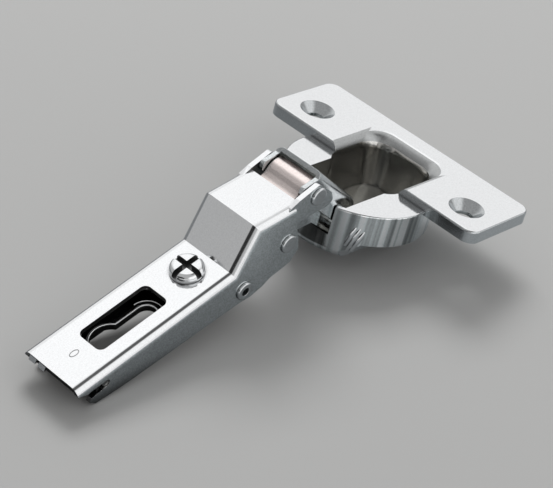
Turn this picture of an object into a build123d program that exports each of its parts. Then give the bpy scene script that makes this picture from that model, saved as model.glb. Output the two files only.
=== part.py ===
"""Concealed cup hinge with a cranked clip-on arm, 35 mm cup, shown opened by 110 degrees.

Frame, in millimetres: the origin is on the cup's axis at the door's face, +Z points out of the
cup's mouth, +X runs from the arm towards the mounting wings, and Y runs along the wings.
"""

import os
from math import atan2, cos, degrees, hypot, pi, radians, sin, tan

from build123d import *

# ---- cup -------------------------------------------------------------------------------------
boring_radius = 17.5
cup_clearance = 0.05
cup_sheet = 1.0
pivot_wall = 1.75
skirt_depth = 6.4
fold_width = 3.2
rim_height = 1.1
rim_edge_radius = 0.4
well_edge_radius = 2.0

# ---- wings -----------------------------------------------------------------------------------
wing_thickness = 3.0
wing_front = 1.86
wing_back = 23.67
wing_span = 60.8
wing_corner_radius = 2.8
wing_edge_radius = 0.5
screw_spacing = 45.0
screw_offset = 9.5
screw_hole_radius = 2.2
countersink_radius = 4.1

# ---- mouth of the cup: its back edge and half width at the wings' top, and how they narrow ----------
mouth_front = -3.2
mouth_back = 19.6
mouth_half = 11.2
mouth_corner_radius = 4.0
throat_half = 9.4
throat_corner_radius = 6.0
floor_half = 8.3
floor_corner_radius = 4.6
# the lip rolls over from the wings' top down to the door's face in this many flats
lip_flats = 4

# ---- sheets and running clearances -------------------------------------------------------------
arm_sheet = 1.2
ear_sheet = 1.1
link_gap = 0.3
lug_gap = 0.15
lug_joggle = 0.35
channel_gap = 0.3
notch_gap = 0.35
pin_fit = 0.04

# ---- pivots in the side view, opened ------------------------------------------------------------
outer_pivot = (-10.95, -3.13)
inner_pivot = (-10.05, -7.79)
outer_knee = (-25.40, 7.10)
inner_knee = (-31.80, -2.70)
stub_radius = 1.5
cup_pin_radius = 1.05
knee_pin_radius = 1.5
middle_pin_radius = 1.2
rivet_head_radius = 2.1
rivet_head_height = 0.6
rivet_dome = 0.36

# ---- links -------------------------------------------------------------------------------------
inner_link_half = 4.9
link_top = 4.4
link_bottom = 2.3
link_nose = 2.6
link_nose_height = 0.4
link_back = 1.6
link_top_start = 1.2
web_start = 5.9
web_past_knee = 1.5
web_drop = 1.6
heel_past_knee = 4.2
heel_height = 0.6
heel_cut = 0.9
link_bend_radius = 1.6
ear_corner_radius = 0.8
inner_link_depth = 2.9
inner_link_rise = 32.5
inner_link_reach = 12.6
knuckle_radius = 1.85
eye_shift = (-0.83, 0.50)
eye_play = 1.2
eye_wall = 1.3

# ---- arm ---------------------------------------------------------------------------------------
tail_slope = 20.0
tail_length = 42.5
tail_knee = (-47.2, -6.0)
upper_knee = (-43.4, 4.5)
web_front = (-31.1, 7.0)
arm_bend_radius = 2.0
# lower edge of the side walls, from the web's front round the knuckle to the tail
knuckle_outline = (
    (-32.0, 5.8), (-30.6, 1.6), (-28.7, -2.2), (-27.7, -5.3), (-29.3, -8.1),
    (-32.0, -9.3), (-34.8, -10.4), (-36.7, -12.0), (-39.9, -13.6), (-42.8, -14.15),
)
# the same edge along the tail and round the hook: distance from the tail's end, depth
tail_side_start = (10.0, 8.6)
hook_outline = ((13.2, 7.8), (8.5, 7.4), (3.9, 6.8), (2.6, 5.6), (3.1, 4.6))
hook_throat = 5.0
hook_lip = ((2.3, 2.7), (0.0, 1.6))
# front lugs in the side view
lug_outline = (
    (-34.0, 2.6), (-34.0, 6.0), (-31.4, 7.6), (-25.9, 10.1), (-20.9, 6.9), (-19.6, 4.6),
    (-21.0, 3.5), (-24.5, 2.9), (-28.5, 2.1),
)
lug_corner_radius = 0.9
window_start = 14.0
window_from_end = 9.9
window_half = 3.5
window_corner_radius = 1.5
hook_from_end = 7.2
hook_slot_depth = 3.5
hook_slot_half = 0.9
tooth_places = (2.5, 5.2)
tooth_width = 1.9
tooth_reach = 0.6
tooth_top = 0.35

# ---- pieces held in the arm ----------------------------------------------------------------------
eyelet_centre = (-42.7, -11.1)
eyelet_radius = 1.6
eyelet_bore = 0.95
screw_place = 5.7
screw_head_radius = 3.75
screw_head_height = 2.0
screw_head_dome = 1.2
screw_head_seat = 0.05
screw_thread_radius = 2.5
screw_thread_length = 2.9
screw_neck_radius = 1.3
screw_neck_gap = 0.3
screw_foot_radius = 2.2
screw_foot_height = 0.9
screw_length = 8.0
screw_slot_half = 0.65
screw_slot_depth = 1.4
adapter_depth = 4.4
adapter_sheet = 1.2
adapter_gap = 0.2
adapter_start = 0.4
adapter_from_end = 4.1
# lower edge of the adapter's sides: distance down the tail, depth; the last is from the tail's end
adapter_front_depth = 7.6
adapter_deepest = (8.0, 8.2)
adapter_rear = (6.5, 7.4)
adapter_end_depth = 5.8
keyhole_from_end = 15.2
keyhole_radius = 4.4
keyhole_slot_start = 17.4
keyhole_slot_half = 2.4
keyhole_rim_height = 0.5
keyhole_rim_width = 1.1
keyhole_round_rim = 0.6
boss_gap = 0.3
spring_thickness = 0.7
spring_side_gap = 0.2
spring_seat = 0.15
spring_bend_radius = 1.1
# the spring's lip over the front rivet: its reach past the rivet's middle, and its rise above its top
spring_lip_reach = 1.2
spring_lip_rise = 0.75
spring_lip_gap = 0.15
# then its ramp to the web, its run under the web, and its end behind the slope
spring_ramp_foot = 2.8
spring_run_start = 3.4
spring_tail = ((-40.3, -7.2), (-42.2, -8.75), (-43.6, -8.75))

# ---- widths that follow, outwards from the middle plane --------------------------------------------
cup_radius = boring_radius - cup_clearance
well_inner_radius = cup_radius - cup_sheet
ear_inner = inner_link_half + link_gap
ear_outer = ear_inner + ear_sheet
lug_inner = ear_outer + lug_gap
lug_outer = lug_inner + arm_sheet
channel_half = lug_outer + channel_gap
well_half_width = channel_half + pivot_wall
arm_half = lug_outer + lug_joggle
arm_inner = arm_half - arm_sheet
adapter_outer = arm_inner - adapter_gap
spring_half = ear_inner - spring_side_gap

# ---- lengths and depths that follow --------------------------------------------------------------
well_floor = inner_pivot[1] - knuckle_radius - link_gap
well_depth = cup_sheet - well_floor
rise = radians(inner_link_rise)
link_angle = degrees(atan2(outer_knee[1] - outer_pivot[1], outer_knee[0] - outer_pivot[0]))
link_length = hypot(outer_knee[0] - outer_pivot[0], outer_knee[1] - outer_pivot[1])
window_end = tail_length - window_from_end
hook_slot_place = tail_length - hook_from_end
adapter_end = tail_length - adapter_from_end
keyhole_place = tail_length - keyhole_from_end
# tools that cut right through reach this far
past = 2 * wing_span


def along(origin, angle, distance, depth):
    """A point of the side view: distance from the origin along the angle, depth to its right."""
    x = origin[0] + distance * cos(angle) + depth * sin(angle)
    z = origin[1] + distance * sin(angle) - depth * cos(angle)
    return (x, z)


def along_tail(distance, depth):
    """Distance down the tail from its knee, depth below its top."""
    return along(tail_knee, radians(180 + tail_slope), distance, -depth)


def along_web(distance, depth):
    """Distance along the upper web from its knee, depth below its top."""
    angle = atan2(web_front[1] - upper_knee[1], web_front[0] - upper_knee[0])
    return along(upper_knee, angle, distance, depth)


def along_link(distance, height):
    """Distance from the outer pivot to the knee, height above that line."""
    return along(outer_pivot, radians(link_angle), distance, height)


# the tail's top face, X down the tail and Z outwards
tail_plane = Plane(
    origin=(tail_knee[0], 0, tail_knee[1]),
    x_dir=(-cos(radians(tail_slope)), 0, -sin(radians(tail_slope))),
    z_dir=(-sin(radians(tail_slope)), 0, cos(radians(tail_slope))),
)


def along_side(place, across=0.0):
    """A point of the side view as a point in space."""
    return (place[0], across, place[1])


def turned(place, angle):
    """A place of the side view with its own turn."""
    return Location((place[0], place[1], 0), (0, 0, angle))


def side_pin(radius, start, end, place):
    """A round pin across the hinge, from Y = start to Y = end."""
    with BuildPart() as pin:
        with BuildSketch(Plane.XZ.offset(-end)):
            with Locations(place):
                Circle(radius)
        extrude(amount=end - start)
    return pin.part


def rivet(radius, face, place, bore=0.0):
    """A rivet across two walls whose outer faces are at Y = -face and face, with domed heads."""
    with BuildPart() as made:
        with BuildSketch(Plane.XZ.offset(-face)):
            with Locations(place):
                Circle(radius)
        extrude(amount=2 * face)
        for side in (-1, 1):
            with BuildSketch(Plane.XZ.offset(side * face)):
                with Locations(place):
                    Circle(rivet_head_radius)
            extrude(amount=side * rivet_head_height)
            rim = made.edges().filter_by(GeomType.CIRCLE).sort_by(Axis.Y)[0 if side > 0 else -1]
            fillet(rim, rivet_dome)
        if bore > 0:
            with BuildSketch(Plane.XZ.offset(-face - rivet_head_height)):
                with Locations(place):
                    Circle(bore)
            extrude(amount=2 * (face + rivet_head_height), mode=Mode.SUBTRACT)
    return made.part


# ---- the cup with its mounting wings, one pressing -------------------------------------------------
notch_drop = (inner_link_depth / 2 + notch_gap) / cos(rise)
notch_end = inner_pivot[0] + cup_radius + cup_sheet
mouth_levels = []
for step in range(lip_flats + 1):
    turn = radians(90) * step / lip_flats
    height = wing_thickness * cos(turn)
    back = mouth_back - (mouth_back - well_inner_radius) * sin(turn)
    half = mouth_half - (mouth_half - throat_half) * sin(turn)
    corner = mouth_corner_radius - (mouth_corner_radius - throat_corner_radius) * sin(turn)
    mouth_levels.append((height, back, half, corner))
mouth_levels.append((well_floor, well_inner_radius, floor_half, floor_corner_radius))
with BuildPart() as cup:
    with BuildSketch(Plane.XY.offset(-well_depth)):
        Circle(cup_radius)
    extrude(amount=well_depth + rim_height)
    fillet(cup.edges().group_by(Axis.Z)[0], well_edge_radius)
    fillet(cup.edges().group_by(Axis.Z)[-1], rim_edge_radius)
    # the sides are pressed less deep than the middle
    for side in (-1, 1):
        with BuildSketch(Plane.YZ.offset(-cup_radius)):
            with BuildLine():
                Polyline(
                    (side * well_half_width, -well_depth - 1),
                    (side * well_half_width, -well_depth + well_edge_radius),
                    (side * (well_half_width + fold_width), -skirt_depth),
                    (side * (cup_radius + 1), -skirt_depth),
                    (side * (cup_radius + 1), -well_depth - 1),
                    close=True,
                )
            make_face()
        extrude(amount=2 * cup_radius, mode=Mode.SUBTRACT)
    # space behind the skirt, below the rim
    for side in (-1, 1):
        with BuildSketch(Plane.XY.offset(rim_height - cup_sheet)):
            Circle(well_inner_radius)
            with Locations((0, side * (well_half_width - cup_radius))):
                Rectangle(4 * cup_radius, 2 * cup_radius, mode=Mode.SUBTRACT)
        extrude(amount=-well_depth - rim_height, mode=Mode.SUBTRACT)
    # the wings
    with BuildSketch():
        with Locations(((wing_front + wing_back) / 2, 0)):
            RectangleRounded(wing_back - wing_front, wing_span, wing_corner_radius)
    extrude(amount=wing_thickness)
    fillet(cup.faces().sort_by(Axis.Z)[-1].edges(), wing_edge_radius)
    # the channel for the links
    with BuildSketch(Plane.XY.offset(well_floor)):
        Circle(well_inner_radius)
        with Locations((-past / 2, 0)):
            Rectangle(past, 2 * channel_half, mode=Mode.INTERSECT)
    extrude(amount=-well_floor + wing_thickness, mode=Mode.SUBTRACT)
    # the mouth, whose lip rolls down to the door's face, then narrows slowly to the floor
    for upper, lower in zip(mouth_levels, mouth_levels[1:]):
        for height, back, half, corner in (upper, lower):
            with BuildSketch(Plane.XY.offset(height)):
                with Locations(((mouth_front + back) / 2, 0)):
                    RectangleRounded(back - mouth_front, 2 * half, corner)
        loft(ruled=True, mode=Mode.SUBTRACT)
    # the notch in the front wall, whose lower edge is parallel to the inner link
    with BuildSketch(Plane.XZ):
        with BuildLine():
            Polyline(
                (inner_pivot[0], inner_pivot[1] - notch_drop),
                (inner_pivot[0] - notch_end, inner_pivot[1] - notch_drop + notch_end * tan(rise)),
                (inner_pivot[0] - notch_end, rim_height + 1),
                (inner_pivot[0], rim_height + 1),
                close=True,
            )
        make_face()
    extrude(amount=ear_outer + link_gap, both=True, mode=Mode.SUBTRACT)
    # screw holes
    with Locations(Plane.XY.offset(wing_thickness)):
        with Locations((screw_offset, screw_spacing / 2), (screw_offset, -screw_spacing / 2)):
            CounterSinkHole(screw_hole_radius, countersink_radius, depth=wing_thickness)
    # the pins' holes through the channel's side walls
    with BuildSketch(Plane.XZ):
        with Locations(outer_pivot):
            Circle(stub_radius)
        with Locations(inner_pivot):
            Circle(cup_pin_radius)
    extrude(amount=well_half_width, both=True, mode=Mode.SUBTRACT)
cup.part.label = "cup"

# ---- pivots fixed in the cup -----------------------------------------------------------------------
# The inner link swings across the outer link's axis, so that axis is two stub rivets.
cup_pin = side_pin(cup_pin_radius, -well_half_width, well_half_width, inner_pivot)
cup_pin.label = "cup_pin"
left_stub = side_pin(stub_radius, ear_inner, well_half_width, outer_pivot)
left_stub.label = "left_stub_rivet"
right_stub = side_pin(stub_radius, -well_half_width, -ear_inner, outer_pivot)
right_stub.label = "right_stub_rivet"

# ---- outer link, a U-shaped pressing -----------------------------------------------------------------
web_end = link_length + web_past_knee
heel = link_length + heel_past_knee
with BuildPart() as outer_link:
    with BuildSketch(Plane.XZ):
        with BuildLine():
            Polyline(
                along_link(link_top_start, link_top),
                along_link(web_end, link_top),
                along_link(web_end, link_top - web_drop),
                along_link(heel, -heel_height),
                along_link(heel - heel_cut, -link_bottom),
                along_link(-link_back, -link_bottom),
                along_link(-link_nose, link_nose_height),
                close=True,
            )
        make_face()
    extrude(amount=ear_outer, both=True)
    under_heel = along_side(along_link(link_top_start, -past))
    rounded = outer_link.edges().filter_by(Axis.Y).sort_by_distance(under_heel)
    fillet(rounded[:4], ear_corner_radius)
    top_middle = along_side(along_link(link_length / 2, link_top))
    long_edges = outer_link.edges().filter_by(Axis.Y, reverse=True).sort_by_distance(top_middle)[:2]
    fillet(long_edges, link_bend_radius)
    with BuildSketch(Plane.XZ):
        with BuildLine():
            Polyline(
                along_link(-past, link_top - ear_sheet),
                along_link(past, link_top - ear_sheet),
                along_link(past, -past),
                along_link(-past, -past),
                close=True,
            )
        make_face()
        with BuildLine():
            Polyline(
                along_link(-past, link_top + 1),
                along_link(web_start, link_top + 1),
                along_link(web_start, 0),
                along_link(-past, 0),
                close=True,
            )
        make_face()
    extrude(amount=ear_inner, both=True, mode=Mode.SUBTRACT)
    with BuildSketch(Plane.XZ):
        with Locations(outer_pivot):
            Circle(stub_radius + pin_fit)
        with Locations(outer_knee):
            Circle(knee_pin_radius + pin_fit)
    extrude(amount=ear_outer, both=True, mode=Mode.SUBTRACT)
outer_link.part.label = "outer_link"

# ---- inner link, a bent bar with an eye at each end ----------------------------------------------------
bend_point = along(inner_pivot, pi - rise, inner_link_reach, 0)
inner_eye = (inner_knee[0] + eye_shift[0], inner_knee[1] + eye_shift[1])
eye_radius = middle_pin_radius + eye_play
with BuildPart() as inner_link:
    with BuildSketch(Plane.XZ):
        for start, end in ((inner_pivot, bend_point), (bend_point, inner_eye)):
            run = hypot(end[0] - start[0], end[1] - start[1])
            turn = degrees(atan2(end[1] - start[1], end[0] - start[0]))
            with Locations(turned(((start[0] + end[0]) / 2, (start[1] + end[1]) / 2), turn)):
                SlotCenterToCenter(run, inner_link_depth)
        with Locations(inner_pivot):
            Circle(knuckle_radius)
            Circle(cup_pin_radius + pin_fit, mode=Mode.SUBTRACT)
        with Locations(inner_eye):
            Circle(eye_radius + eye_wall)
            Circle(eye_radius, mode=Mode.SUBTRACT)
    extrude(amount=inner_link_half, both=True)
inner_link.part.label = "inner_link"

# ---- arm, one cranked pressing of U section ------------------------------------------------------------
arm_top = [along_tail(tail_length, 0), tail_knee, upper_knee, web_front]
arm_lower = list(knuckle_outline)
arm_lower.append(along_tail(*tail_side_start))
for from_end, depth in hook_outline:
    arm_lower.append(along_tail(tail_length - from_end, depth))
for depth in (hook_slot_depth + hook_slot_half, hook_slot_depth - hook_slot_half):
    arm_lower.append(along_tail(tail_length - hook_throat, depth))
for from_end, depth in hook_lip:
    arm_lower.append(along_tail(tail_length - from_end, depth))
with BuildPart() as arm_inside:
    with BuildSketch(Plane.XZ):
        with BuildLine():
            Polyline(
                along_tail(tail_length + past, 0),
                tail_knee,
                upper_knee,
                along_web(past, 0),
                along_web(past, past),
                along_tail(tail_length + past, past),
                close=True,
            )
        make_face()
        offset(amount=-arm_sheet, kind=Kind.INTERSECTION, mode=Mode.REPLACE)
    extrude(amount=arm_inner, both=True)
with BuildPart() as arm:
    with BuildSketch(Plane.XZ):
        with BuildLine():
            Polyline(*arm_top, *arm_lower, close=True)
        make_face()
    extrude(amount=arm_half, both=True)
    long_edges = []
    for start, end in zip(arm_top, arm_top[1:]):
        middle = ((start[0] + end[0]) / 2, (start[1] + end[1]) / 2)
        for side in (-1, 1):
            long_edges.append(arm.edges().sort_by_distance(along_side(middle, side * arm_half))[0])
    fillet(long_edges, arm_bend_radius)
    add(arm_inside.part, mode=Mode.SUBTRACT)
    # small sloping teeth along the tail's rear edge
    for across in tooth_places:
        with BuildSketch(Plane.XZ.offset(-across - tooth_width / 2)):
            with BuildLine():
                Polyline(
                    along_tail(tail_length, tooth_top),
                    along_tail(tail_length + tooth_reach, arm_sheet),
                    along_tail(tail_length - arm_sheet, arm_sheet),
                    along_tail(tail_length - arm_sheet, tooth_top),
                    close=True,
                )
            make_face()
        extrude(amount=tooth_width)
    # front lugs, joggled inwards
    for side in (-1, 1):
        with BuildSketch(Plane.XZ.offset(side * lug_inner)):
            with BuildLine():
                FilletPolyline(*lug_outline, radius=lug_corner_radius, close=True)
            make_face()
        extrude(amount=side * arm_sheet)
    # the slot that hooks on the mounting plate, and the rivets' holes
    with BuildSketch(Plane.XZ):
        with Locations(turned(along_tail(hook_slot_place + 2, hook_slot_depth), tail_slope)):
            SlotCenterToCenter(4, 2 * hook_slot_half)
        with Locations(outer_knee):
            Circle(knee_pin_radius + pin_fit / 2)
        with Locations(inner_knee):
            Circle(middle_pin_radius + pin_fit / 2)
        with Locations(eyelet_centre):
            Circle(eyelet_radius + pin_fit / 2)
    extrude(amount=arm_half, both=True, mode=Mode.SUBTRACT)
    # window and screw hole in the tail's plate
    with BuildSketch(tail_plane):
        with Locations(((window_start + window_end) / 2, 0)):
            RectangleRounded(window_end - window_start, 2 * window_half, window_corner_radius)
        with Locations((screw_place, 0)):
            Circle(screw_thread_radius + pin_fit)
    extrude(amount=-arm_sheet - 1, mode=Mode.SUBTRACT)
arm.part.label = "arm"

# ---- rivets held in the arm ----------------------------------------------------------------------------
front_rivet = rivet(knee_pin_radius, lug_outer, outer_knee)
front_rivet.label = "front_rivet"
middle_rivet = rivet(middle_pin_radius, arm_half, inner_knee)
middle_rivet.label = "middle_rivet"
eyelet_rivet = rivet(eyelet_radius, arm_half, eyelet_centre, eyelet_bore)
eyelet_rivet.label = "eyelet_rivet"

# ---- leaf spring, a bent strip under the arm's web -----------------------------------------------------
spring_depth = arm_sheet + spring_seat + spring_thickness / 2
web_length = hypot(web_front[0] - upper_knee[0], web_front[1] - upper_knee[1])
rivet_top = outer_knee[1] + knee_pin_radius
with BuildPart() as leaf_spring:
    with BuildSketch(Plane.XZ):
        with BuildLine():
            FilletPolyline(
                (outer_knee[0] + spring_lip_reach, rivet_top + spring_lip_rise),
                (outer_knee[0] - knee_pin_radius, rivet_top + spring_lip_gap),
                along_web(web_length + spring_ramp_foot, spring_depth),
                along_web(spring_run_start, spring_depth),
                *spring_tail,
                radius=spring_bend_radius,
            )
            offset(amount=spring_thickness / 2, side=Side.BOTH, closed=True)
        make_face()
    extrude(amount=spring_half, both=True)
leaf_spring.part.label = "leaf_spring"

# ---- adapter, a U-shaped plate with a keyhole that the mounting plate's screw catches -------------------
keyhole_middle = ((keyhole_slot_start + keyhole_place) / 2, 0)
keyhole_run = keyhole_place - keyhole_slot_start
boss_place = along_tail(hook_slot_place, hook_slot_depth)
with BuildPart() as adapter:
    with BuildSketch(Plane.XZ):
        with BuildLine():
            Polyline(
                along_tail(adapter_start, adapter_depth),
                along_tail(adapter_end, adapter_depth),
                along_tail(adapter_end, adapter_end_depth),
                along_tail(tail_length - adapter_rear[0], adapter_rear[1]),
                along_tail(*adapter_deepest),
                along_tail(adapter_start, adapter_front_depth),
                close=True,
            )
        make_face()
    extrude(amount=adapter_outer, both=True)
    with BuildSketch(Plane.XZ):
        with BuildLine():
            Polyline(
                along_tail(-past, adapter_depth + adapter_sheet),
                along_tail(past, adapter_depth + adapter_sheet),
                along_tail(past, past),
                along_tail(-past, past),
                close=True,
            )
        make_face()
    extrude(amount=adapter_outer - adapter_sheet, both=True, mode=Mode.SUBTRACT)
    # raised rim around the keyhole
    with BuildSketch(tail_plane.offset(-adapter_depth)):
        with Locations(keyhole_middle):
            SlotCenterToCenter(keyhole_run, 2 * (keyhole_slot_half + keyhole_rim_width))
        with Locations((keyhole_place, 0)):
            Circle(keyhole_radius + keyhole_round_rim)
    extrude(amount=keyhole_rim_height)
    with BuildSketch(tail_plane.offset(-adapter_depth)):
        with Locations(keyhole_middle):
            SlotCenterToCenter(keyhole_run, 2 * keyhole_slot_half)
        with Locations((keyhole_place, 0)):
            Circle(keyhole_radius)
        with Locations((0, 0)):
            SlotCenterToCenter(2 * screw_place, 2 * (screw_neck_radius + screw_neck_gap))
    extrude(amount=-2 * adapter_sheet, both=True, mode=Mode.SUBTRACT)
    # bosses that turn in the round ends of the arm's hook slots
    for side in (-1, 1):
        with BuildSketch(Plane.XZ.offset(side * (adapter_outer - adapter_sheet))):
            with Locations(boss_place):
                Circle(2 * hook_slot_half)
            with Locations(turned(along_tail(hook_slot_place, adapter_depth + hook_slot_half), tail_slope)):
                Rectangle(4 * hook_slot_half, 2 * hook_slot_half)
        extrude(amount=side * adapter_sheet)
        with BuildSketch(Plane.XZ.offset(side * (adapter_outer - adapter_sheet))):
            with Locations(boss_place):
                Circle(hook_slot_half - pin_fit)
        extrude(amount=side * (arm_half - boss_gap - adapter_outer + adapter_sheet))
adapter.part.label = "adapter"

# ---- side adjusting screw ---------------------------------------------------------------------------------
with BuildPart() as side_screw:
    with BuildSketch(tail_plane.offset(screw_head_seat)):
        with Locations((screw_place, 0)):
            Circle(screw_head_radius)
    extrude(amount=screw_head_height - screw_head_seat)
    fillet(side_screw.edges().sort_by(Axis((0, 0, 0), tail_plane.z_dir))[-1], screw_head_dome)
    for radius, top, bottom in (
        (screw_thread_radius, screw_head_seat, -screw_thread_length),
        (screw_neck_radius, 0, -screw_length),
        (screw_foot_radius, screw_foot_height - screw_length, -screw_length),
    ):
        with BuildSketch(tail_plane.offset(top)):
            with Locations((screw_place, 0)):
                Circle(radius)
        extrude(amount=bottom - top)
    with BuildSketch(tail_plane.offset(screw_head_height)):
        with Locations((screw_place, 0)):
            Rectangle(4 * screw_head_radius, 2 * screw_slot_half)
            Rectangle(2 * screw_slot_half, 4 * screw_head_radius)
    extrude(amount=-screw_slot_depth, mode=Mode.SUBTRACT)
side_screw.part.label = "side_screw"

os.makedirs("parts", exist_ok=True)
pieces = (
    cup.part, cup_pin, left_stub, right_stub, outer_link.part, inner_link.part, arm.part,
    front_rivet, middle_rivet, eyelet_rivet, leaf_spring.part, adapter.part, side_screw.part,
)
for piece in pieces:
    export_step(piece, f"parts/{piece.label}.step")
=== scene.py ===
from math import asin, cos, radians, sin, tan

import bpy
import bmesh
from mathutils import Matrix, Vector


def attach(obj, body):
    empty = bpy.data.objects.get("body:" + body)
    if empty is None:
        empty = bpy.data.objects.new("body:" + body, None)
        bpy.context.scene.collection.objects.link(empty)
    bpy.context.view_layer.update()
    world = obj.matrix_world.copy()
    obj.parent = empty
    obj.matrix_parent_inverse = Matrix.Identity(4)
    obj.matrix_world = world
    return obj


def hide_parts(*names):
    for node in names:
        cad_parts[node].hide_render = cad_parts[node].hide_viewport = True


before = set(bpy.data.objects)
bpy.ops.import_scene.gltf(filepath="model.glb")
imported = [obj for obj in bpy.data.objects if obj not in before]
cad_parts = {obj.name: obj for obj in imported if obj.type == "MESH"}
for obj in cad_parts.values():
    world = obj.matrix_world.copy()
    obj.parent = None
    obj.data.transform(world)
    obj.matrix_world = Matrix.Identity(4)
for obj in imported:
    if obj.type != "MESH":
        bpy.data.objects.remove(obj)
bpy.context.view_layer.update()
scene = bpy.context.scene

# ---- camera, floor and studio light ---------------------------------------------------------------
# A long lens looks down on the hinge from the arm's side. The floor is a plain pale sheet just under the
# rear of the cup and the end of the tail; what the plating mirrors of it is painted in, as painted
# reflections with a painted shade under the arm. The dome round it has bright and dark areas, which
# the plating mirrors, and one large lamp from behind draws the shadows.
eye = Vector((-0.32487, -0.20693, 0.21160))
aim = Vector((-0.03143, -0.00494, -0.00478))
camera_roll = radians(15.916)
lens_mm = 129.37
nearest_seen = 0.01
camera_data = bpy.data.cameras.new("camera")
camera_data.lens = lens_mm
camera_data.clip_start = nearest_seen
camera = bpy.data.objects.new("camera", camera_data)
camera.location = eye
camera.rotation_euler = (aim - eye).to_track_quat("-Z", "Y").to_euler()
camera.rotation_euler.rotate_axis("Z", camera_roll)
scene.collection.objects.link(camera)
scene.camera = camera
scene.view_settings.view_transform = "Standard"


def put(tree, value, socket):
    """Sets a socket to a plain value, or links it to another node's output."""
    if isinstance(value, bpy.types.NodeSocket):
        tree.links.new(value, socket)
    else:
        socket.default_value = value


def along(tree, place, towards):
    """How far a place lies in a direction."""
    product = tree.nodes.new("ShaderNodeVectorMath")
    product.operation = "DOT_PRODUCT"
    product.inputs[1].default_value = towards
    tree.links.new(place, product.inputs[0])
    return product.outputs["Value"]


def eased(tree, value, start, full):
    """How far a value has gone from start to full, with soft ends."""
    share = tree.nodes.new("ShaderNodeMapRange")
    share.interpolation_type = "SMOOTHSTEP"
    share.inputs["From Min"].default_value = start
    share.inputs["From Max"].default_value = full
    tree.links.new(value, share.inputs["Value"])
    return share.outputs["Result"]


def blended(tree, share, under, over):
    """One colour laid over another by a share."""
    mix = tree.nodes.new("ShaderNodeMix")
    mix.data_type = "RGBA"
    put(tree, share, mix.inputs["Factor"])
    put(tree, under, mix.inputs["A"])
    put(tree, over, mix.inputs["B"])
    return mix.outputs["Result"]


def times(tree, one, other):
    """The product of two values."""
    product = tree.nodes.new("ShaderNodeMath")
    product.operation = "MULTIPLY"
    put(tree, one, product.inputs[0])
    put(tree, other, product.inputs[1])
    return product.outputs["Value"]


floor_size = 4
floor_drop = 0.0002
# the hinge lies on the rear of its cup and the end of its tail, so the floor leans to meet both
floor_lean = radians(-8.55)
floor_up = Vector((sin(floor_lean), 0, cos(floor_lean)))
lowest = min(floor_up.dot(point.co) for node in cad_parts.values() for point in node.data.vertices)
bpy.ops.mesh.primitive_plane_add(
    size=floor_size, location=(lowest - floor_drop) * floor_up, rotation=(0, floor_lean, 0)
)
floor = bpy.context.object
floor.name = "floor"

floor_colour = (0.40, 0.40, 0.396, 1)
# painted reflections: tones that only glossy rays see on the floor, which the plating mirrors: left and
# right of the hinge, far off, and a painted shade under the arm
left_tone, right_tone = (0.15, 0.157, 0.162, 1), (0.33, 0.347, 0.355, 1)
far_tone, painted_shade_tone = (0.95, 0.95, 0.95, 1), (0.03, 0.03, 0.03, 1)
# the direction of each change of tone, and the places along it where it starts and is full
right_turn, right_span = radians(-35), (-0.09, 0.03)
far_turn, far_span = radians(-118), (0.05, 0.13)
painted_shade_half_span, painted_shade_front_span = (0.012, 0.008), (-0.022, -0.028)
floor_finish = bpy.data.materials.new("floor_paper")
floor_finish.use_nodes = True
tree = floor_finish.node_tree
paper = tree.nodes["Principled BSDF"]
paper.inputs["Roughness"].default_value = 0.9
place = tree.nodes.new("ShaderNodeNewGeometry").outputs["Position"]
rightwards = along(tree, place, (cos(right_turn), sin(right_turn), 0))
painted_reflection = blended(tree, eased(tree, rightwards, *right_span), left_tone, right_tone)
outwards = along(tree, place, (cos(far_turn), sin(far_turn), 0))
painted_reflection = blended(tree, eased(tree, outwards, *far_span), painted_reflection, far_tone)
axes = tree.nodes.new("ShaderNodeSeparateXYZ")
tree.links.new(place, axes.inputs["Vector"])
off_middle = tree.nodes.new("ShaderNodeMath")
off_middle.operation = "ABSOLUTE"
tree.links.new(axes.outputs["Y"], off_middle.inputs[0])
beside_arm = eased(tree, off_middle.outputs["Value"], *painted_shade_half_span)
before_cup = eased(tree, axes.outputs["X"], *painted_shade_front_span)
# painted shade under the arm, in the floor that the plating mirrors
painted_reflection = blended(tree, times(tree, beside_arm, before_cup), painted_reflection, painted_shade_tone)
by_mirror = tree.nodes.new("ShaderNodeLightPath").outputs["Is Glossy Ray"]
tree.links.new(blended(tree, by_mirror, floor_colour, painted_reflection), paper.inputs["Base Color"])
floor.data.materials.append(floor_finish)

# azimuth and elevation of each area of the dome, the angles where it is full and gone, its brightness
dome_areas = (
    (46, 40, 34, 54, 0.93),
    (64, 58, 8, 24, 1.12),
    (-62, 34, 14, 44, 1.05),
    (-108, 18, 14, 30, 1.15),
    (-62, 80, 9, 20, 0.10),
    (150, 24, 5, 14, 0.22),
    (-172, 2, 15, 26, 0.03),
)
dome_base = 0.44
world = bpy.data.worlds.new("dome")
world.use_nodes = True
scene.world = world
sky = world.node_tree
direction = sky.nodes.new("ShaderNodeTexCoord").outputs["Generated"]
dome_colour = (dome_base, dome_base, dome_base, 1)
for azimuth, elevation, full, gone, brightness in dome_areas:
    level = cos(radians(elevation))
    towards = (level * cos(radians(azimuth)), level * sin(radians(azimuth)), sin(radians(elevation)))
    share = eased(sky, along(sky, direction, towards), cos(radians(gone)), cos(radians(full)))
    dome_colour = blended(sky, share, dome_colour, (brightness, brightness, brightness, 1))
sky.links.new(dome_colour, sky.nodes["Background"].inputs["Color"])

lamp_place, lamp_aim = Vector((0.42, 0.62, 0.85)), Vector((-0.03, 0, 0))
lamp_width, lamp_height, lamp_watts = 0.55, 0.45, 9.5
lamp = bpy.data.lights.new("back_soft_box", "AREA")
lamp.shape = "RECTANGLE"
lamp.size = lamp_width
lamp.size_y = lamp_height
lamp.energy = lamp_watts
lamp_holder = bpy.data.objects.new("back_soft_box", lamp)
lamp_holder.location = lamp_place
lamp_holder.rotation_euler = (lamp_aim - lamp_place).to_track_quat("-Z", "Y").to_euler()
lamp_holder.visible_glossy = False
scene.collection.objects.link(lamp_holder)
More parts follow.
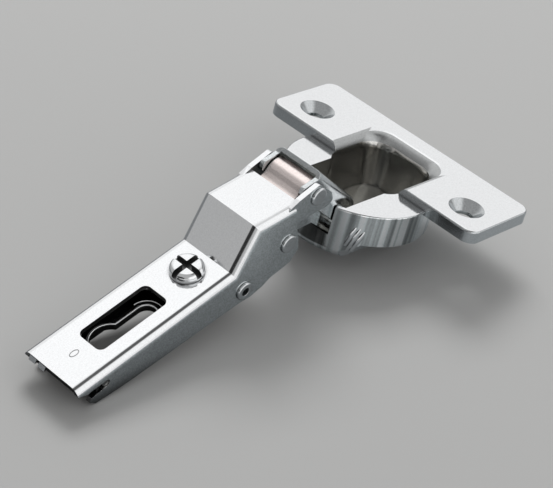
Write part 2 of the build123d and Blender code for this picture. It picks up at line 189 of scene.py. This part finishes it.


# ---- cup with its wings -------------------------------------------------------------------------------
# The cup and its two wings are one piece of deep-drawn sheet, plated in bright nickel. The plating is
# duller down in the well, whose wall and floor are painted darker as shade, the skirt carries painted
# reflections as streaks, and the press has left folds at the corners of the skirt.
speckle_scale, drift_scale, grain_scale, grain_depth = 3200, 90, 2600, 0.00004
# the darkest tone of the painted shade in crevices, and how far the gloss drifts
crevice_shade_tone, gloss_drift = 0.12, 0.15
# the scale and share of each set of painted reflection streaks round the cup
reflection_streak_bands = ((2.6, 1.0), (9.0, 0.6))


def plating(name, colour, roughness, grain, speckle, reflection_streaks=0.0, crevice_shade_reach=0.0012):
    """Plated steel with a fine speckle and grain, a slow drift in its gloss, and painted shade in its
    crevices.
    """
    made = bpy.data.materials.new(name)
    made.use_nodes = True
    tree = made.node_tree
    metal = tree.nodes["Principled BSDF"]
    metal.inputs["Metallic"].default_value = 1
    place = tree.nodes.new("ShaderNodeTexCoord").outputs["Object"]

    def noise(scale, detail):
        made_noise = tree.nodes.new("ShaderNodeTexNoise")
        made_noise.inputs["Scale"].default_value = scale
        made_noise.inputs["Detail"].default_value = detail
        tree.links.new(place, made_noise.inputs["Vector"])
        return made_noise.outputs["Fac"]

    def fitted(value, low, high, to_low, to_high):
        fit = tree.nodes.new("ShaderNodeMapRange")
        fit.inputs["From Min"].default_value = low
        fit.inputs["From Max"].default_value = high
        fit.inputs["To Min"].default_value = to_low
        fit.inputs["To Max"].default_value = to_high
        tree.links.new(value, fit.inputs["Value"])
        return fit.outputs["Result"]

    # painted shade: the base colour darkens in crevices and between parts, where shade falls
    crevice_shade = tree.nodes.new("ShaderNodeAmbientOcclusion")
    crevice_shade.samples = 6
    crevice_shade.inputs["Distance"].default_value = crevice_shade_reach
    shade = fitted(crevice_shade.outputs["AO"], 0.15, 0.8, crevice_shade_tone, 1)
    specks = fitted(noise(speckle_scale, 2), 0.35, 0.65, 1 - speckle, 1 + speckle / 2)
    shade = times(tree, shade, specks)
    if reflection_streaks > 0:
        # painted reflections: bright and dark streaks up the skirt stand in for what it mirrors, so their
        # pattern depends on the angle round the cup alone
        split = tree.nodes.new("ShaderNodeSeparateXYZ")
        tree.links.new(place, split.inputs["Vector"])
        around = tree.nodes.new("ShaderNodeMath")
        around.operation = "ARCTAN2"
        tree.links.new(split.outputs["Y"], around.inputs[0])
        tree.links.new(split.outputs["X"], around.inputs[1])
        for scale, share in reflection_streak_bands:
            band = tree.nodes.new("ShaderNodeTexNoise")
            band.noise_dimensions = "1D"
            band.inputs["Scale"].default_value = scale
            band.inputs["Detail"].default_value = 2
            tree.links.new(around.outputs["Value"], band.inputs["W"])
            low, high = 1 - reflection_streaks * share, 1 + reflection_streaks * share
            shade = times(tree, shade, fitted(band.outputs["Fac"], 0.36, 0.62, low, high))
    tone = tree.nodes.new("ShaderNodeVectorMath")
    tone.operation = "SCALE"
    tone.inputs[0].default_value = colour
    tree.links.new(shade, tone.inputs["Scale"])
    tree.links.new(tone.outputs["Vector"], metal.inputs["Base Color"])
    smooth, rough = roughness * (1 - gloss_drift), roughness * (1 + gloss_drift)
    gloss = fitted(noise(drift_scale, 2), 0.3, 0.7, smooth, rough)
    tree.links.new(gloss, metal.inputs["Roughness"])
    bump = tree.nodes.new("ShaderNodeBump")
    bump.inputs["Strength"].default_value = grain
    bump.inputs["Distance"].default_value = grain_depth
    tree.links.new(noise(grain_scale, 3), bump.inputs["Height"])
    tree.links.new(bump.outputs["Normal"], metal.inputs["Normal"])
    return made


def rounded(piece, radius, sharp_angle):
    """Rounds the edges sharper than an angle and shades the large faces flat."""
    bevel = piece.modifiers.new("rounding", "BEVEL")
    bevel.width = radius
    bevel.segments = 2
    bevel.limit_method = "ANGLE"
    bevel.angle_limit = sharp_angle
    even = piece.modifiers.new("even_normals", "WEIGHTED_NORMAL")
    even.weight = 100
    even.keep_sharp = True


weld_reach, flat_turn, edge_turn = 1e-6, radians(0.4), radians(28)


def shaped(node, body, finishes, radius, pick=None):
    """The node's shape in one skin, with its sharp edges rounded. pick gives a face's finish."""
    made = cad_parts[node].data.copy()
    made.name = node + "_skin"
    shape = bmesh.new()
    shape.from_mesh(made)
    bmesh.ops.remove_doubles(shape, verts=shape.verts, dist=weld_reach)
    bmesh.ops.dissolve_limit(shape, angle_limit=flat_turn, verts=shape.verts, edges=shape.edges)
    for face in shape.faces:
        face.smooth = True
        face.material_index = finishes.index(pick(face)) if pick else 0
    made.materials.clear()
    for finish in finishes:
        made.materials.append(finish)
    shape.to_mesh(made)
    shape.free()
    skin = bpy.data.objects.new(node + "_skin", made)
    scene.collection.objects.link(skin)
    rounded(skin, radius, edge_turn)
    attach(skin, body)
    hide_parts(node)
    return skin


def sweep_maker(name, section_kind, sizes, upright=False):
    """A node group that sweeps a section along a path. sizes: the section's socket for each input."""
    maker = bpy.data.node_groups.new(name, "GeometryNodeTree")
    sockets = maker.interface
    sockets.new_socket("Geometry", in_out="INPUT", socket_type="NodeSocketGeometry")
    inputs = [sockets.new_socket(size, in_out="INPUT", socket_type="NodeSocketFloat") for size in sizes]
    inputs.append(sockets.new_socket("Finish", in_out="INPUT", socket_type="NodeSocketMaterial"))
    sockets.new_socket("Geometry", in_out="OUTPUT", socket_type="NodeSocketGeometry")
    given = maker.nodes.new("NodeGroupInput")
    path = maker.nodes.new("GeometryNodeMeshToCurve")
    section = maker.nodes.new(section_kind)
    section.name = "section"
    sweep = maker.nodes.new("GeometryNodeCurveToMesh")
    sweep.inputs["Fill Caps"].default_value = True
    real = maker.nodes.new("GeometryNodeRealizeInstances")
    painted = maker.nodes.new("GeometryNodeSetMaterial")
    result = maker.nodes.new("NodeGroupOutput")
    maker.links.new(given.outputs["Geometry"], path.inputs["Mesh"])
    curve = path.outputs["Curve"]
    if upright:
        turned = maker.nodes.new("GeometryNodeSetCurveNormal")
        turned.mode = "Z_UP"
        maker.links.new(curve, turned.inputs["Curve"])
        curve = turned.outputs["Curve"]
    for size, socket in sizes.items():
        maker.links.new(given.outputs[size], section.inputs[socket])
    maker.links.new(curve, sweep.inputs["Curve"])
    maker.links.new(section.outputs["Curve"], sweep.inputs["Profile Curve"])
    maker.links.new(sweep.outputs["Mesh"], real.inputs["Geometry"])
    maker.links.new(real.outputs["Geometry"], painted.inputs["Geometry"])
    maker.links.new(given.outputs["Finish"], painted.inputs["Material"])
    maker.links.new(painted.outputs["Geometry"], result.inputs["Geometry"])
    return maker, [each.identifier for each in inputs]


def swept(name, points, maker, inputs, values, closed=False):
    """The node group's sweep along points given in metres, kept as plain mesh."""
    line = bpy.data.meshes.new(name + "_path")
    steps = [(number, number + 1) for number in range(len(points) - 1)]
    if closed:
        steps.append((len(points) - 1, 0))
    line.from_pydata([tuple(point) for point in points], steps, [])
    draft = bpy.data.objects.new(name + "_path", line)
    scene.collection.objects.link(draft)
    sweeping = draft.modifiers.new("sweep", "NODES")
    sweeping.node_group = maker
    for identifier, value in zip(inputs, values):
        sweeping[identifier] = value
    made = bpy.data.meshes.new_from_object(draft.evaluated_get(bpy.context.evaluated_depsgraph_get()))
    made.name = name
    bpy.data.objects.remove(draft)
    for face in made.polygons:
        face.use_smooth = True
    piece = bpy.data.objects.new(name, made)
    scene.collection.objects.link(piece)
    return piece


bead_sides = 12
bead_maker, bead_inputs = sweep_maker(
    "bead_along_path", "GeometryNodeCurvePrimitiveCircle", {"Radius": "Radius"}
)
bead_maker.nodes["section"].inputs["Resolution"].default_value = bead_sides


def bead(name, points, radius, finish, body, closed=False):
    """A round bead along a path."""
    piece = swept(name, points, bead_maker, bead_inputs, (radius, finish), closed)
    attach(piece, body)
    return piece


bright = plating("bright_nickel", (0.86, 0.87, 0.88), 0.12, 0.1, 0.04)
# painted shade: the well's wall is a darker copy of the plating
well = plating("well_nickel", (0.66, 0.65, 0.625), 0.18, 0.2, 0.16)
# painted reflection streaks on the skirt, and a far-reaching painted crevice shade
skirt = plating("skirt_nickel", (0.72, 0.75, 0.75), 0.14, 0.2, 0.12, reflection_streaks=0.6, crevice_shade_reach=0.006)
sheared = plating("sheared_edge", (0.56, 0.58, 0.59), 0.14, 0.25, 0.12)
# painted shade: the rolled lip is a darker copy of the plating, as well as rougher
shaded_lip = plating("rolled_lip", (0.46, 0.47, 0.47), 0.32, 0.2, 0.12)
# painted shade: the well's floor is a much darker copy of the plating
shaded_well_base = plating("well_floor_shade", (0.26, 0.26, 0.245), 0.24, 0.2, 0.12)
well_mouth, well_top, well_bottom, lip_foot = 0.0113, 0.0027, -0.008, 0.0004
skirt_top, skirt_inside = 0.0010, 0.0168
# the upward part of a face's normal: the most for the well's wall, the skirt and the lip, and the least
# for a level face
wall_tilt, skirt_tilt, lip_tilt, level_tilt = 0.37, 0.5, 0.97, 0.9
cup_rounding = 0.00012


def cup_finish(face):
    """Painted shade on the well's floor, its wall and the lip, dull on the sheared edges, painted
    reflection streaks on the skirt.
    """
    place, out = face.calc_center_median(), face.normal
    inward = out.x * place.x + out.y * place.y < 0 and abs(place.y) < well_mouth
    if out.z > level_tilt and place.z < well_bottom:
        return shaded_well_base
    if inward and place.z < well_top and out.z < wall_tilt:
        return well
    if inward and place.z > lip_foot and out.z < lip_tilt:
        return shaded_lip
    if place.z < skirt_top and place.xy.length > skirt_inside and out.z < skirt_tilt:
        return skirt
    return sheared if abs(out.z) < level_tilt and place.z > lip_foot else bright


cup_finishes = (bright, well, skirt, sheared, shaded_lip, shaded_well_base)
shaped("cup", "cup", cup_finishes, cup_rounding, cup_finish)
cup_radius = 0.01745
fold_radius, fold_sunk, fold_dive = 0.0007, 0.0004, 0.0004
fold_steps = 8
# each fold: its ends as an angle round the cup and a height
folds = (
    ((-144.6, -0.0078), (-139.6, -0.0019)),
    ((-142.4, -0.0086), (-136.0, -0.0020)),
    ((-138.8, -0.0083), (-132.6, -0.0026)),
)
for mirror in (-1, 1):
    for number, (start, end) in enumerate(folds):
        points = []
        for step in range(fold_steps + 1):
            share = step / fold_steps
            angle = radians(start[0] + (end[0] - start[0]) * share) * -mirror
            height = start[1] + (end[1] - start[1]) * share
            reach = cup_radius - fold_sunk - fold_dive * (2 * share - 1) ** 2
            points.append((reach * cos(angle), reach * sin(angle), height))
        side = "near" if mirror < 0 else "far"
        bead(f"{side}_fold_{number + 1}", points, fold_radius, bright, "cup")

# ---- cup pin and stub rivets ------------------------------------------------------------------------
# The two links turn on plain steel pins held in the walls of the cup's channel: one right across for
# the inner link, and a short stub in each wall for the outer link.
steel = plating("rivet_steel", (0.74, 0.76, 0.77), 0.2, 0.25, 0.12)
pin_rounding = 0.00012
for pin in ("cup_pin", "left_stub_rivet", "right_stub_rivet"):
    shaped(pin, "cup", (steel,), pin_rounding)

# ---- outer link -------------------------------------------------------------------------------------
# A U-shaped pressing with a web over the spring and an ear on each side. Its sheared edges are rounded
# by tumbling, and it is plated bright.
link_plate = plating("link_nickel", (0.70, 0.73, 0.74), 0.17, 0.25, 0.15)
link_rounding = 0.00022
shaped("outer_link", "outer_link", (link_plate,), link_rounding)

# ---- inner link -------------------------------------------------------------------------------------
# A thick bent bar under the outer link, with a knuckle on the cup's pin and an eye on the middle
# rivet. It is stamped from plate, and its faces are satin.
satin = plating("satin_nickel", (0.82, 0.86, 0.87), 0.15, 0.22, 0.22)
bar_rounding = 0.00025
shaped("inner_link", "inner_link", (satin,), bar_rounding)

# ---- arm --------------------------------------------------------------------------------------------
# One cranked pressing of U section. Its top is bright where it was polished, its sides are satin with
# a fine grain, and the inside of the channel is painted dark as shade.
# painted shade: a dark copy of the plating for the inside of the channel
channel_shade = plating("arm_inside", (0.30, 0.30, 0.30), 0.3, 0.3, 0.1)
tail_knee = Vector((-0.0472, 0, -0.006))
tail_slope = radians(20)
tail_up = Vector((-sin(tail_slope), 0, cos(tail_slope)))
tail_along = Vector((-cos(tail_slope), 0, -sin(tail_slope)))
arm_inner_half, wall_slack, arm_rounding = 0.0068, 0.0001, 0.00014
# parts of a face's normal: the least upwards for the top, the most sideways for the web's underside, the
# least for an inner wall and the most for a bend
top_tilt, web_lean, wall_lean, bend_lean = -0.3, 0.5, 0.7, 0.93


def arm_finish(face):
    """The top and its bends are bright, the outside of the walls satin, and the inside painted dark as
    shade.
    """
    place, out = face.calc_center_median(), face.normal
    under_web = out.z < top_tilt and abs(out.y) < web_lean
    in_channel = abs(place.y) < arm_inner_half + wall_slack and abs(out.y) > wall_lean
    if under_web or in_channel:
        return channel_shade
    return bright if abs(out.y) < bend_lean and out.z > top_tilt else satin


shaped("arm", "arm", (bright, satin, channel_shade), arm_rounding, arm_finish)
# the small stamped oval near the tail's end, a grey bead whose darker tone is a painted shade for the
# groove
mark_place, mark_long, mark_wide, mark_bead = 0.0364, 0.0011, 0.0006, 0.00009
mark_steps = 36
stamp_shade = plating("stamped_mark", (0.42, 0.42, 0.43), 0.3, 0.2, 0.1)
oval = []
for step in range(mark_steps):
    turn = radians(360 * step / mark_steps)
    down_tail, across = mark_place + mark_long * cos(turn), mark_wide * sin(turn)
    oval.append(tail_knee + tail_along * down_tail + Vector((0, across, 0)))
bead("stamped_oval", oval, mark_bead, stamp_shade, "arm", closed=True)

# ---- rivets -----------------------------------------------------------------------------------------
# Two solid rivets and one hollow eyelet hold the links, the spring and the sides of the arm together.
# Their heads are formed cold, which leaves a flat top and a round rim.
rivet_rounding = 0.00008
for rivet in ("front_rivet", "middle_rivet", "eyelet_rivet"):
    shaped(rivet, "arm", (steel,), rivet_rounding)

# ---- leaf spring ------------------------------------------------------------------------------------
# A strip of spring steel with a pale copper plating. It runs under the arm's web, rises in an S-shaped
# ramp and ends in a lip over the front rivet. It is cut from strip and bent over round tools.
# its painted crevice shade reaches further than on the other platings
copper = plating("copper_plate", (0.95, 0.85, 0.82), 0.2, 0.1, 0.06, crevice_shade_reach=0.004)
spring_half = max(point.co.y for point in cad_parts["leaf_spring"].data.vertices)
spring_thickness, spring_rounding, spring_edge_turn = 0.0007, 0.00008, radians(50)
# corners of the strip's middle line seen from the side, and the radius of the bend at each
spring_corners = (
    ((-0.0242, 0.00935), 0),
    ((-0.0269, 0.00875), 0.0032),
    ((-0.0289, 0.00571), 0.0040),
    ((-0.03973, 0.00351), 0.0011),
    ((-0.0403, -0.0072), 0.0011),
    ((-0.0422, -0.00875), 0.0011),
    ((-0.0436, -0.00875), 0),
)
bend_steps = 10
spring_line = []
for number, (corner, bend_radius) in enumerate(spring_corners):
    corner = Vector(corner)
    if not bend_radius:
        spring_line.append(corner)
        continue
    back = (Vector(spring_corners[number - 1][0]) - corner).normalized()
    ahead = (Vector(spring_corners[number + 1][0]) - corner).normalized()
    half_turn = back.angle(ahead) / 2
    centre = corner + (back + ahead).normalized() * bend_radius / sin(half_turn)
    start = corner + back * bend_radius / tan(half_turn) - centre
    end = corner + ahead * bend_radius / tan(half_turn) - centre
    for step in range(bend_steps + 1):
        share = step / bend_steps
        spring_line.append(centre + (start * (1 - share) + end * share).normalized() * bend_radius)

strip_maker, strip_inputs = sweep_maker(
    "strip_along_path",
    "GeometryNodeCurvePrimitiveQuadrilateral",
    {"Width": "Width", "Thickness": "Height"},
    upright=True,
)
spring_path = [(point.x, 0, point.y) for point in spring_line]
spring_sizes = (2 * spring_half, spring_thickness, copper)
spring = swept("spring_strip", spring_path, strip_maker, strip_inputs, spring_sizes)
rounded(spring, spring_rounding, spring_edge_turn)
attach(spring, "arm")
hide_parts("leaf_spring")

# ---- adapter ----------------------------------------------------------------------------------------
# A U-shaped plate inside the tail, with a keyhole for the mounting plate's screw. The keyhole has a
# polished raised rim, and the plate round it is painted dark as shade, with a far-reaching painted
# crevice shade.
# painted shade: the plate is a dark copy of the plating, its crevice shade reaching far
shaded_adapter_plate = plating("adapter_plate", (0.34, 0.34, 0.33), 0.25, 0.3, 0.2, crevice_shade_reach=0.008)
adapter_rounding = 0.00012
shaped("adapter", "adapter", (shaded_adapter_plate,), adapter_rounding)
keyhole_start, keyhole_end = 0.0174, 0.0273
slot_half, round_radius = 0.0024, 0.0044
rim_depth = 0.0040
# how far outside the keyhole the rim and the step lie, and the radius of each bead
rim_out, rim_bead = 0.00015, 0.00032
step_out, step_bead = 0.00135, 0.00022
slot_steps, round_steps = 12, 24


def keyhole_line(slot_side, round_side):
    """The keyhole's outline, as distances down the tail and across it."""
    line = []
    for step in range(slot_steps + 1):
        turn = radians(-90 + 180 * step / slot_steps)
        line.append((keyhole_start - slot_side * cos(turn), slot_side * sin(turn)))
    if round_side:
        half_open = asin(slot_side / round_side)
        for step in range(round_steps + 1):
            turn = half_open + (radians(360) - 2 * half_open) * step / round_steps
            line.append((keyhole_end - round_side * cos(turn), round_side * sin(turn)))
    return line


for name, slot_side, round_side, radius in (
    ("keyhole_rim", slot_half + rim_out, round_radius + rim_out, rim_bead),
    ("keyhole_step", slot_half + step_out, 0, step_bead),
):
    points = []
    for down_tail, across in keyhole_line(slot_side, round_side):
        points.append(tail_knee + tail_along * down_tail - tail_up * rim_depth + Vector((0, across, 0)))
    bead(name, points, radius, bright, "adapter", closed=bool(round_side))

# ---- side adjusting screw -----------------------------------------------------------------------------
# A short screw with a domed head and a deep cross recess. The head is bright, and the recess is
# painted dark as shade.
# painted shade in the cross recess
recess_shade = plating("screw_recess", (0.16, 0.16, 0.16), 0.3, 0.2, 0.1)
screw_place, screw_rounding = 0.0057, 0.0001
screw_centre = tail_knee + tail_along * screw_place
# the recess, as heights above the tail and a distance from the screw's axis
recess_low, recess_high, recess_reach = 0.0003, 0.0012, 0.0034
# the upward part of a face's normal: the most for a wall and the least for the floor of the recess
upright_most, level_least = 0.2, 0.95


def screw_finish(face):
    """The walls and floor of the cross recess are painted dark, as shade."""
    offset = face.calc_center_median() - screw_centre
    height = offset.dot(tail_up)
    reach = (offset - tail_up * height).length
    upward = face.normal.dot(tail_up)
    in_walls = abs(upward) < upright_most and reach < recess_reach and height > recess_low
    on_floor = upward > level_least and recess_low < height < recess_high
    return recess_shade if in_walls or on_floor else bright


shaped("side_screw", "side_screw", (bright, recess_shade), screw_rounding, screw_finish)
